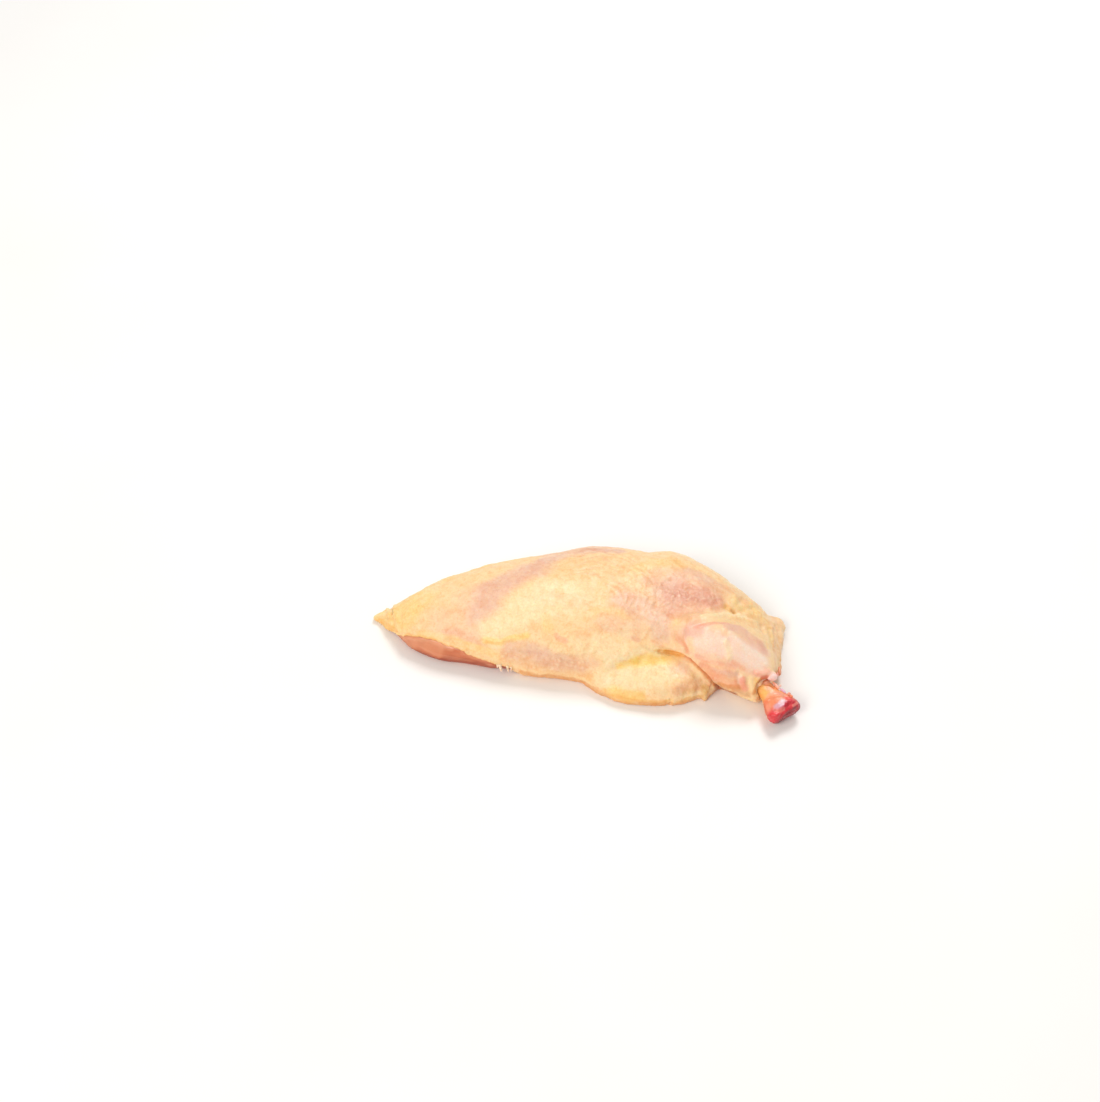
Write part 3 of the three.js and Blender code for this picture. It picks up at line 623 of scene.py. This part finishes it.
# Lines that stand out of the skin.
FOLDS = (
    # the ridge of skin from the fillet to the joint of the wing
    (1.5, 0.75, ((47.7, -9.8, 29.7), (52, -7, 29.6), (57, -2, 26.9), (62.1, 2.8, 23.6),
        (66.8, 4.9, 21.5), (71.5, 7, 19), (76.9, 8.9, 15.7))),
    # beside the furrow, and the rim of the drumette over the lobe
    (1.5, 0.6, ((32.7, -23.1, 20), (37.3, -21.7, 19.2), (42.2, -20.9, 18.2), (46.9, -22, 18.3),
        (51.8, -24.1, 19))),
    (1.3, 0.5, ((54, -25.2, 18.4), (58, -27.1, 17.8), (61.9, -28.9, 15.9), (65.8, -30.1, 13.5))),
    (6.0, 1.3, ((13, -36, 14), (20, -32, 16), (27, -28, 17), (34, -26, 16))),
    # between the folds of the web
    (1.2, 0.3, ((82.6, 9.4, 11.9), (85.5, -0.8, 14.3), (87.9, -6.4, 14.7))),
    (1.0, 0.3, ((84.7, 14.9, 9.6), (86.4, 9.2, 8.9), (88.2, 3.1, 8.8))),
    (1.0, 0.3, ((89.6, 17, 6), (91.1, 10.3, 4.8))),
    (2.0, 0.35, ((72.9, 23, 15), (71.6, 16.2, 18))),
    (2.0, 0.35, ((65.6, 19.9, 20.3), (64.3, 13.6, 22.1))),
    (1.6, 0.3, ((78.8, 20.2, 12.4), (76.5, 15.5, 15.1))),
    # along the drumette
    (2.4, 0.5, ((66.2, -10.2, 27.7), (74.1, -13.7, 24.4), (82.1, -14.9, 19.9), (86.7, -15, 17.2))),
    (1.1, 0.3, ((57.4, -15.3, 29.7), (57.9, -19.2, 28.4), (59.8, -22.7, 26.2))),
    (1.1, 0.3, ((67, -16.1, 27.3), (68, -20, 26), (70.4, -23.3, 23.9))),
    (1.0, 0.3, ((54.8, -25, 20.6), (61, -26.8, 21.7), (68.3, -28.1, 20.5), (76.1, -27.6, 18.9))),
    (1.2, 0.3, ((51.8, -21.8, 24.8), (58.1, -23.5, 25.2), (64.2, -24.4, 24.6))),
    # tendons drawn tight over its end, with a nub beside them
    (1.2, 0.35, ((82.3, -27.4, 16.3), (83.9, -30.8, 12.7), (85.3, -32.2, 8.8))),
    (1.5, 0.6, ((78.3, -28.2, 17.4), (79.1, -29.3, 16))),
    (0.6, 0.5, ((73.7, -31.4, 9.9), (79.8, -31.7, 7.8), (85.9, -32.1, 6.6), (90.3, -32, 6.6))),
    (1.0, 0.6, ((84.6, -23.5, 17.1), (87.8, -22, 15.9), (89.8, -19.5, 15.1))),
    # the scallops of the lobe
    (1.6, 0.3, ((60.6, -33.6, 7.9), (60.1, -34.8, 5.3))),
    (1.8, 0.7, ((63, -32.7, 6.1), (62.9, -33.7, 4.3), (62.8, -33.6, 1.2))),
    (2.0, 0.3, ((57.1, -35.9, 9.3), (56.7, -37.4, 6.4))),
    # the turned tip of the tail
    (1.0, 0.7, ((-106.5, -29.8, 2.9), (-103.9, -26.6, 4.1), (-101.4, -24.5, 5.1))),
    (1.0, 0.4, ((-97.3, -26.8, 9.2), (-94.2, -32.5, 10.4), (-92.3, -36.5, 9.3))),
)
# The middle of the curved wrinkles over the crown, how far apart they are, and their depth.
RINGS = (-6, -12)
RING_SPACING = 4.2
RING_DEEP = 0.36
# The pimples: how far apart they are along each axis, and their height.
PIMPLES = (2.6, 3.4, 2.8)
PIMPLE_HIGH = 0.28
# Places drawn out of the plain form: the middle, how far it reaches and the step. They are
# the side of the cuff, the tip of the tail and the corner of the web, with the dip beside it.
PULLS = (
    ((88.3, -28.3, 12.3), 4.2, (-2.3, -0.7, 0)),
    ((-107.6, -29.6, 1.5), 3.0, (-1.4, 0.2, 0.2)),
    ((89.3, 21.0, 5.0), 4.0, (1.4, 0.5, 0)),
    ((82.5, 24.0, 7.5), 4.0, (-0.5, -1.5, 0)),
)


def pulled(points):
    """The points drawn out at each of the given places, and less farther off."""
    moved = points.copy()
    for middle, reach, step in PULLS:
        away = np.linalg.norm(points - np.array(middle), axis=1)
        moved += np.exp(-(away / reach) ** 2)[:, None] * np.array(step)
    return moved


def lines(points, normals, table):
    """Creases and folds added up, in millimetres."""
    total = np.zeros(len(points))
    for width, high, path in table:
        away = away_from(points, normals, path, 4 * width) / width
        total += high * (np.exp(-away ** 2) - 0.22 * np.exp(-(away - 2.1) ** 2))
    return total


def wrinkles(points, turn, spacing, seed):
    """Fine parallel furrows across the skin at an angle to X: 1 in a furrow, else 0."""
    across = points[:, 0] * math.cos(turn) + points[:, 1] * math.sin(turn) + 0.4 * points[:, 2]
    phase = across / spacing + 0.7 * lumps(points, 9, seed) + 0.3 * lumps(points, 3, seed)
    return (1 - np.abs(np.sin(math.pi * phase))) ** 2


def rings(points):
    """Curved furrows over the crown, round the pad of fat: 1 in a furrow, else 0."""
    x, y = points[:, 0] - RINGS[0], points[:, 1] - RINGS[1]
    out = np.hypot(x, y)
    turn = np.arctan2(y, x)
    shown = ease(10, 17, out) * ease(46, 34, out) * ease(-0.35, 0.1, turn) * ease(2.3, 1.7, turn)
    phase = out / RING_SPACING + 1.3 * lumps(points, 12, 5.0) + 0.5 * lumps(points, 5, 6.0)
    broken = np.clip(0.7 + 0.7 * lumps(points, 7, 8.0), 0, 1)
    return shown * broken * (1 - np.abs(np.sin(math.pi * phase))) ** 1.5


def pimples(points, size, seed):
    """The low bump round each feather's hole, 1 at its top."""
    spots = (points / size + seed).tolist()
    nearest = np.array([noise.voronoi(spot)[0][0] for spot in spots])
    return np.exp(-(nearest / 0.34) ** 2)


def skin_relief(points, normals):
    """How far the skin stands out, with its pimples, its furrows and where it is taut."""
    x, y, z = points.T
    arm = ((52, -13, 18), (72, -12, 14), (86, -18, 10))
    drumette = ease(19, 12, away_from(points, 0 * normals, arm, 20))
    lobe_end = ease(17, 6, away_from(points, 0 * normals, ((55, -33, 9), (58, -30, 8)), 20))
    web = ease(70, 80, x) * ease(-12, -4, y)
    tail = ease(-70, -95, x)
    far_edge = ease(10, 28, y - 0.12 * x) * ease(20, 8, z)
    shoulder = ease(26, 12, np.hypot(x - 38, y + 2)) * (1 - drumette)
    form = 0.5 * lumps(points, 15, 1.0) + 0.36 * lumps(points, 6.5, 2.0) + 0.2 * lumps(points, 3, 3.0)
    furrows = wrinkles(points, 0.55, 2.3, 5.0) + wrinkles(points, -0.6, 2.5, 6.0)
    fine = 0.05 + 0.1 * lobe_end + 0.08 * web + 0.08 * tail + 0.06 * shoulder
    ringed = rings(points)
    along = 0.14 * web * wrinkles(points, 0.15, 3.6, 9.0)
    bumps = pimples(points, np.array(PIMPLES), 0.5) * (1 - 0.8 * drumette)
    low = ease(17, 13, z) * ease(6, 9, z) * ease(-46, -36, x) * ease(14, 2, x) * ease(-20, -30, y)
    back = ease(16, 8, np.hypot(x - 8, y + 22)) * (1 - drumette)
    goose = np.maximum(np.maximum(shoulder, 1.25 * low), 0.6 * back)
    bumps = bumps * np.maximum(goose, 0.25 + 0.35 * ease(-0.2, 0.35, lumps(points, 22, 11.0)))
    ruffles = (0.6 * web + 0.6 * lobe_end + 0.4 * tail + 0.8 * far_edge) * lumps(points, (5, 4, 9), 12.0)
    lined = lines(wandering(points, 5, 0.4, 20.0), normals, CREASES + FOLDS)
    relief = form * (1 - 0.55 * drumette) - fine * furrows - along - RING_DEEP * ringed
    return relief + PIMPLE_HIGH * bumps + ruffles + lined, bumps, ringed, drumette


def chicken_skin():
    material, tree, shader, place = shader_of("raw chicken skin")
    mottle = grain(tree, place, 300, 4, None, 0.4)
    blotch = grain(tree, place, 750, 3)
    speck = grain(tree, place, 1500, 2)
    net = wire(tree, "TexVoronoi", {"Vector": place, "Scale": 560.0}, feature="DISTANCE_TO_EDGE")
    netted = between(tree, net.outputs["Distance"], 0, 0.25)
    loose = attribute(tree, "loose")
    mottled = sums(tree, between(tree, mottle, 0.46, 0.66, 0, 0.65), loose, "MULTIPLY")
    blotched = sums(tree, between(tree, blotch, 0.5, 0.68, 0, 0.65), loose, "MULTIPLY")
    lighter = sums(tree, between(tree, mottle, 0.5, 0.34, 0, 0.16), loose, "MULTIPLY")
    colour = attribute(tree, "tone", "Color")
    colour = blend(tree, mottled, colour, paint(252, 238, 226), "MULTIPLY")
    colour = blend(tree, blotched, colour, paint(250, 238, 226), "MULTIPLY")
    colour = blend(tree, lighter, colour, paint(254, 232, 196))
    pimple = between(tree, attribute(tree, "pimple"), 0.3, 0.95, 0, 0.38)
    colour = blend(tree, pimple, colour, paint(255, 228, 194))
    colour = blend(tree, between(tree, netted, 0.5, 0, 0, 0.25), colour, paint(250, 228, 204), "MULTIPLY")
    specked = between(tree, speck, 0.62, 0.75, 0, 0.3)
    colour = blend(tree, specked, colour, paint(244, 214, 184), "MULTIPLY")
    tree.links.new(colour, shader.inputs["Base Color"])
    normal = dent(tree, shader, netted, 0.12, 0.35)
    normal = dent(tree, shader, sums(tree, mottle, loose, "MULTIPLY"), 0.5, 0.35, normal)
    normal = dent(tree, shader, blotch, 0.2, 0.4, normal)
    dent(tree, shader, speck, 0.1, 0.35, normal)
    sheen = between(tree, grain(tree, place, 140, 3), 0.35, 0.7, 0.4, 0.6)
    tree.links.new(sheen, shader.inputs["Roughness"])
    moist(shader, 0.22, (1, 0.5, 0.25), 1.6, 0.1, 0.3)
    return material


skin = fine_copy("breast", "breast_skin", SKIN_GRAIN)
soften(skin, 3)
reshape(skin, pulled(footed(surface(skin)[0])))
centres = np.empty(len(skin.data.polygons) * 3)
skin.data.polygons.foreach_get("center", centres)
facing = np.empty(len(skin.data.polygons) * 3)
skin.data.polygons.foreach_get("normal", facing)
shown = skin_cover(centres.reshape(-1, 3) / MM, facing.reshape(-1, 3)) > -1.6
soften(skin, 3, shown)
points, normals = surface(skin)
cover = skin_cover(points, normals)
dive = ease(0.25, -0.9, cover)
lip = LIP_OUT * np.exp(-((cover - 0.9) / 0.8) ** 2)
relief, bumps, ringed, taut = skin_relief(points, normals)
outwards = (relief + lip) * (1 - dive) - (SKIN_THICK + EDGE_IN) * dive
laid = points + normals * outwards[:, None]
laid[:, 2] = np.maximum(laid[:, 2], 0)
reshape(skin, laid)
tones = painted(points, normals, CREAM, FAR_TONES + SKIN_TONES)
# The crown's wrinkles tinted tan: painted shade in their furrows.
tones = tinted(tones, TAN, 0.6 * ringed)
near = beyond_crest(points) < 0
# Painted shade: the lowest few millimetres of the near side tinted russet.
foot_shade = ease(3.5, 0.3, points[:, 2]) * near * ease(-96, -86, points[:, 0])
tones = tinted(tones, RUSSET_SHADE, 0.6 * foot_shade)
tones = tinted(tones, AMBER, 0.6 * ease(1.5, 0.2, cover))
record(skin, "tone", tones)
record(skin, "pimple", bumps)
record(skin, "loose", 1 - 0.7 * taut)
skin.data.materials.append(chicken_skin())
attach(skin, "root")
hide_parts("breast")


# The stubs of a few feathers left in the skin's low edge: short hollow quills of pale
# horn, broken off by the plucking, that hang out of the skin and taper to a blunt point.
QUILL_WIDE = 2.0
QUILL_TAPER = 0.45
HORN = (255, 232, 204)
HORN_SHADE = (246, 206, 170)
# The root of each, its point, and how wide it is against the widest.
QUILLS = (
    ((-37.5, -45.0, 7.2), (-36.3, -46.0, 3.4), 1.0),
    ((-38.4, -45.2, 7.0), (-38.4, -45.6, 4.8), 0.7),
    ((-33.8, -44.4, 6.6), (-33.0, -45.2, 3.0), 0.75),
    ((-31.9, -44.2, 6.0), (-31.4, -44.9, 3.4), 0.6),
)


def made_of(body, name):
    """A new piece from a finished bmesh."""
    mesh = bpy.data.meshes.new(name)
    body.to_mesh(mesh)
    body.free()
    return link(name, mesh)


def horn():
    material, tree, shader, place = shader_of("quill horn")
    streaks = grain(tree, place, 1200, 3)
    colour = blend(tree, between(tree, streaks, 0.35, 0.65), paint(*HORN), paint(*HORN_SHADE))
    tree.links.new(colour, shader.inputs["Base Color"])
    dent(tree, shader, streaks, 0.1, 0.5)
    shader.inputs["Roughness"].default_value = 0.4
    moist(shader, 0.2, (1, 0.6, 0.4), 0.8)
    return material


quills = bmesh.new()
for root, tip, share in QUILLS:
    start, end = Vector(root) * MM, Vector(tip) * MM
    wide = QUILL_WIDE * share * MM / 2
    turned = (end - start).to_track_quat("Z", "Y").to_matrix().to_4x4()
    bmesh.ops.create_cone(
        quills, cap_ends=True, segments=12, radius1=wide, radius2=QUILL_TAPER * wide,
        depth=(end - start).length, matrix=Matrix.Translation((start + end) / 2) @ turned)
bmesh.ops.bevel(quills, geom=quills.edges[:], offset=0.08 * MM, segments=2, profile=0.5, material=-1,
                affect="EDGES")
stubs = made_of(quills, "quill_stubs")
for face in stubs.data.polygons:
    face.use_smooth = True
stubs.data.materials.append(horn())
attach(stubs, "root")


# The wing bone: the bare end of the drumette's bone, scraped clean of meat, its yellow
# shaft flaring into a two-lobed knuckle that is raw and crimson where the wing was cut.
BONE_GRAIN = 0.28
BONE_ROOT = Vector((79.3, -15.4, 9.4))
BONE_END = Vector((102.1, -34.8, 5.6))
BONE_LENGTH = 31.4
SHAFT = (253, 190, 104)
FLESHY = (242, 144, 100)
CORAL = (246, 72, 76)
CRIMSON = (190, 16, 38)
WINE = (136, 14, 28)
LILAC_AND_HIGHLIGHT = (226, 184, 204)
SHELL = (248, 176, 150)
MILK_AND_HIGHLIGHT = (252, 222, 230)
BRICK = (210, 104, 72)
# The ground colour along the bone, from its root at 0 to its end at 1.
BONE_GROUND = (
    (0.0, (238, 160, 100)), (0.42, (240, 168, 100)), (0.5, SHAFT), (0.6, SHAFT), (0.7, (244, 152, 98)),
    (0.78, FLESHY), (0.86, (232, 122, 96)), (0.9, CRIMSON), (1.0, WINE),
)
BONE_TONES = (
    (SHAFT, 3.4, 0.95, ((87.3, -27.2, 12.6), (88.4, -29.8, 8.5))),
    (SHELL, 1.5, 0.8, ((88.2, -25.3, 14.4), (90.2, -22.1, 11.2), (91.9, -14.2, 1.6))),
    (FLESHY, 3.0, 0.7, ((92.5, -25.8, 11.4), (95.1, -27, 11.4))),
    (SHELL, 2.0, 0.7, ((92.6, -31.2, 10.9), (95.1, -29.2, 11.7), (98.9, -28.6, 11.5))),
    (FLESHY, 2.2, 0.8, ((91.7, -32.9, 9.5), (94.4, -32.8, 11.1))),
    (CORAL, 2.4, 0.35, ((91, -33.3, 7.6), (93, -37.4, 7.7))),
    (SHELL, 1.6, 0.6, ((93.2, -35.5, 9.4), (94.6, -38.4, 8.7))),
    (CRIMSON, 3.6, 1.0, ((97.6, -41.2, 5.6), (100.8, -38.6, 7.4), (103.3, -34.7, 8.2), (106, -31.6, 9.3))),
    (WINE, 1.6, 0.9, ((97.2, -41, 4.5), (100.5, -38.5, 5.3), (103.1, -35.7, 7), (105.4, -32.9, 8.4))),
    (CORAL, 3.2, 1.0, ((95.5, -40.5, 6.3), (97.6, -40.1, 8.8), (99.2, -38.8, 9.8))),
    (CORAL, 1.4, 0.5, ((101.3, -37.1, 9.5), (103.8, -33.1, 10.2))),
    (SHELL, 1.2, 0.6, ((97, -37.7, 10.3), (98.9, -37.7, 10.5), (100.9, -36, 10.4))),
    # the white cartilage on the knuckle, with a painted lilac highlight over it
    (LILAC_AND_HIGHLIGHT, 2.0, 1.0, ((97.9, -35.6, 11.2), (99.3, -34.1, 11.3), (100.1, -32.3, 11.4))),
    (MILK_AND_HIGHLIGHT, 1.5, 0.9, ((98.9, -33.4, 11.5), (99.8, -31.9, 11.5))),
    (CRIMSON, 1.3, 0.9, ((101.7, -33, 10.9), (103.1, -30.4, 10.9))),
    (CORAL, 1.6, 0.6, ((101, -29.8, 11.4), (103.4, -29, 10.6), (105.5, -29.6, 9.8))),
    (BRICK, 1.3, 0.6, ((103.2, -27.7, 10.1), (105.4, -28.9, 9.6))),
    # a painted highlight along the knuckle's far end
    (SHELL, 0.8, 0.7, ((104.7, -32.6, 10), (105.8, -30.8, 9.7), (106.5, -29.1, 8.8))),
    (BRICK, 1.3, 0.6, ((91.2, -34, 6.9), (92.9, -37.7, 6.7), (94.4, -39.6, 5.6))),
)
STRANDS = (
    (0.6, 0.55, ((88.6, -24.9, 13.9), (90.2, -22.1, 11.2), (92, -14.1, 1.1), (94.7, -24.2, 10.2))),
    (0.5, -0.5, ((89.2, -24.4, 11.6), (91.6, -24, 11.2), (93.8, -25.1, 11))),
    (0.8, -0.5, ((97.1, -38.2, 10.1), (99.4, -37.9, 10.3), (101.8, -35.4, 10), (103.1, -32.5, 10.8))),
    (0.9, 0.4, ((95.7, -39.9, 8), (98, -40, 8.8))),
    (0.7, -0.4, ((99.9, -39.4, 8.1), (100.9, -37.7, 9.4))),
    (0.6, 0.35, ((92.5, -32.7, 10.3), (94.9, -30.8, 11.6), (98.5, -29.1, 11.6))),
)


def bone_surface(name, cloudy):
    material, tree, shader, place = shader_of(name)
    cloud = grain(tree, place, 260, 3, None, 0.4)
    fine = grain(tree, place, 900, 3)
    colour = attribute(tree, "tone", "Color")
    clouded = between(tree, cloud, 0.42, 0.68, 0, cloudy)
    colour = blend(tree, clouded, colour, paint(240, 214, 204), "MULTIPLY")
    colour = blend(tree, between(tree, fine, 0.54, 0.75, 0, 0.12), colour, paint(250, 190, 166))
    tree.links.new(colour, shader.inputs["Base Color"])
    normal = dent(tree, shader, cloud, 0.6, 0.5)
    dent(tree, shader, fine, 0.2, 0.5, normal)
    shader.inputs["Roughness"].default_value = 0.42
    moist(shader, 0.15, (1, 0.3, 0.2), 0.8, 0.25, 0.2)
    return material


bone = fine_copy("wing_bone", "wing_bone_end", BONE_GRAIN)
soften(bone, 6)
reshape(bone, pulled(surface(bone)[0]))
points, normals = surface(bone)
axis = np.array((BONE_END - BONE_ROOT).normalized())
reach = (points - np.array(BONE_ROOT)) @ axis / BONE_LENGTH
knuckle = ease(0.6, 0.85, reach)
rough = 0.12 * lumps(points, 5, 1.0) + 0.3 * knuckle * lumps(points, 2.6, 2.0)
torn = 0.16 * knuckle * lumps(points, 1.1, 3.0) + 0.06 * lumps(points, 1.2, 4.0)
strands = lines(points, normals, STRANDS)
reshape(bone, points + normals * (rough + torn + strands)[:, None])
along = reach + 0.05 * lumps(points, 4, 5.0) + 0.03 * lumps(points, 1.6, 6.0)
stops = [place for place, tone in BONE_GROUND]
ground = np.stack([np.interp(along, stops, [tone[c] for place, tone in BONE_GROUND]) for c in range(3)], 1)
record(bone, "tone", painted(points, normals, ground, BONE_TONES))
bone.data.materials.append(bone_surface("raw wing bone", 0.6))
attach(bone, "root")
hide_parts("wing_bone")


# Torn tissue at the root of the bone and on the edge of the web: a white end of gristle, a
# pink strand drawn over the bone and crumbs of flesh that the knife left, as small wet lumps.
# The middle of each lump, its half sizes along its run, across and up, its turn and tone.
TISSUE = (
    ((92.4, -20.9, 13.7), (2.1, 1.7, 1.9), 0.6, GRISTLE),
    ((91.0, -22.0, 13.6), (1.3, 1.0, 1.1), 0.2, GRISTLE),
    ((94.4, -23.4, 11.1), (2.7, 0.8, 0.8), -0.73, SHELL),
    ((96.4, -23.1, 11.3), (0.6, 0.6, 0.9), 0.4, PALE),
    ((98.3, -25.1, 10.4), (1.9, 0.7, 0.7), -0.6, LILAC_AND_HIGHLIGHT),
    ((101.5, -26.6, 10.9), (0.8, 0.7, 1.1), 0.2, SHELL),
    ((102.5, -27.0, 10.1), (1.1, 0.8, 0.7), -0.4, FLESHY),
    ((93.6, -8.4, 4.4), (1.0, 2.8, 1.3), 0.25, SALMON),
    ((93.2, -13.4, 6.8), (0.9, 1.9, 1.2), 0.1, BLUSH),
)
LUMP_ROUGH = 0.12

tissue = bmesh.new()
for middle, halves, turn, tone in TISSUE:
    form = (
        Matrix.Translation(Vector(middle) * MM) @ Matrix.Rotation(turn, 4, "Z")
        @ Matrix.Diagonal((*(Vector(halves) * MM), 1)))
    bmesh.ops.create_icosphere(tissue, subdivisions=4, radius=1, matrix=form)
torn_tissue = made_of(tissue, "torn_tissue")
points, normals = surface(torn_tissue)
uneven = LUMP_ROUGH * lumps(points, 1.4, 2.0) + 0.5 * LUMP_ROUGH * lumps(points, 0.6, 3.0)
reshape(torn_tissue, points + normals * uneven[:, None])
each = len(points) // len(TISSUE)
tones = np.concatenate([np.tile(np.array(tone, float), (each, 1)) for *_, tone in TISSUE])
record(torn_tissue, "tone", tones)
torn_tissue.data.materials.append(bone_surface("torn tissue", 0.2))
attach(torn_tissue, "root")


# The stand-in for a studio: a pale floor, a soft light high behind the food, a broader and
# warmer one from the left front, and the camera at the photograph's angle.
CAMERA_PLACE = Vector((0.1542, -0.65698, 0.75563))
CAMERA_RIGHT = Vector((0.96106, 0.27608, 0.01233))
CAMERA_DOWN = Vector((0.20755, -0.69162, -0.69179))
CAMERA_LENS = 66.22
SENSOR_WIDE = 36
FLOOR_WIDE = 8
FLOOR_TONES = ((246, 245, 243), (250, 249, 248))
# Each light: its name, its place, how wide it is, its power and its tint.
LIGHTS = (
    ("key", (0.05, 0.85, 1.15), 0.5, 10.0, (1, 1, 1)),
    ("front", (-0.5, -1.2, 1.1), 0.8, 14.0, (1, 0.93, 0.84)),
)
AIR_TINT = (1, 0.99, 0.975, 1)
AIR_STRENGTH = 0.48


def pale_floor():
    material, tree, shader, place = shader_of("pale floor")
    even = between(tree, grain(tree, place, 6, 3), 0.3, 0.7, 0, 1)
    colour = blend(tree, even, *(paint(*tone) for tone in FLOOR_TONES))
    tree.links.new(colour, shader.inputs["Base Color"])
    shader.inputs["Roughness"].default_value = 0.7
    return material


def soft_light(name, place, size, power, tint):
    """A square light that points at the middle of the food."""
    lamp = bpy.data.lights.new(name, "AREA")
    lamp.color = tint
    lamp.size = size
    lamp.energy = power
    placed = link(name, lamp)
    placed.location = place
    placed.rotation_euler = (-Vector(place)).to_track_quat("-Z", "Y").to_euler()


plane = bmesh.new()
bmesh.ops.create_grid(plane, x_segments=1, y_segments=1, size=FLOOR_WIDE / 2)
floor = made_of(plane, "floor")
floor.data.materials.append(pale_floor())

for light in LIGHTS:
    soft_light(*light)
world = bpy.data.worlds.new("studio air")
world.use_nodes = True
world.node_tree.nodes["Background"].inputs["Color"].default_value = AIR_TINT
world.node_tree.nodes["Background"].inputs["Strength"].default_value = AIR_STRENGTH
bpy.context.scene.world = world
bpy.context.scene.view_settings.view_transform = "Standard"

lens = bpy.data.cameras.new("camera")
lens.lens = CAMERA_LENS
lens.sensor_width = SENSOR_WIDE
lens.clip_start = 0.01
camera = link("camera", lens)
turned = Matrix((CAMERA_RIGHT, -CAMERA_DOWN, CAMERA_RIGHT.cross(-CAMERA_DOWN))).transposed()
camera.matrix_world = Matrix.Translation(CAMERA_PLACE) @ turned.to_4x4()
bpy.context.scene.camera = camera
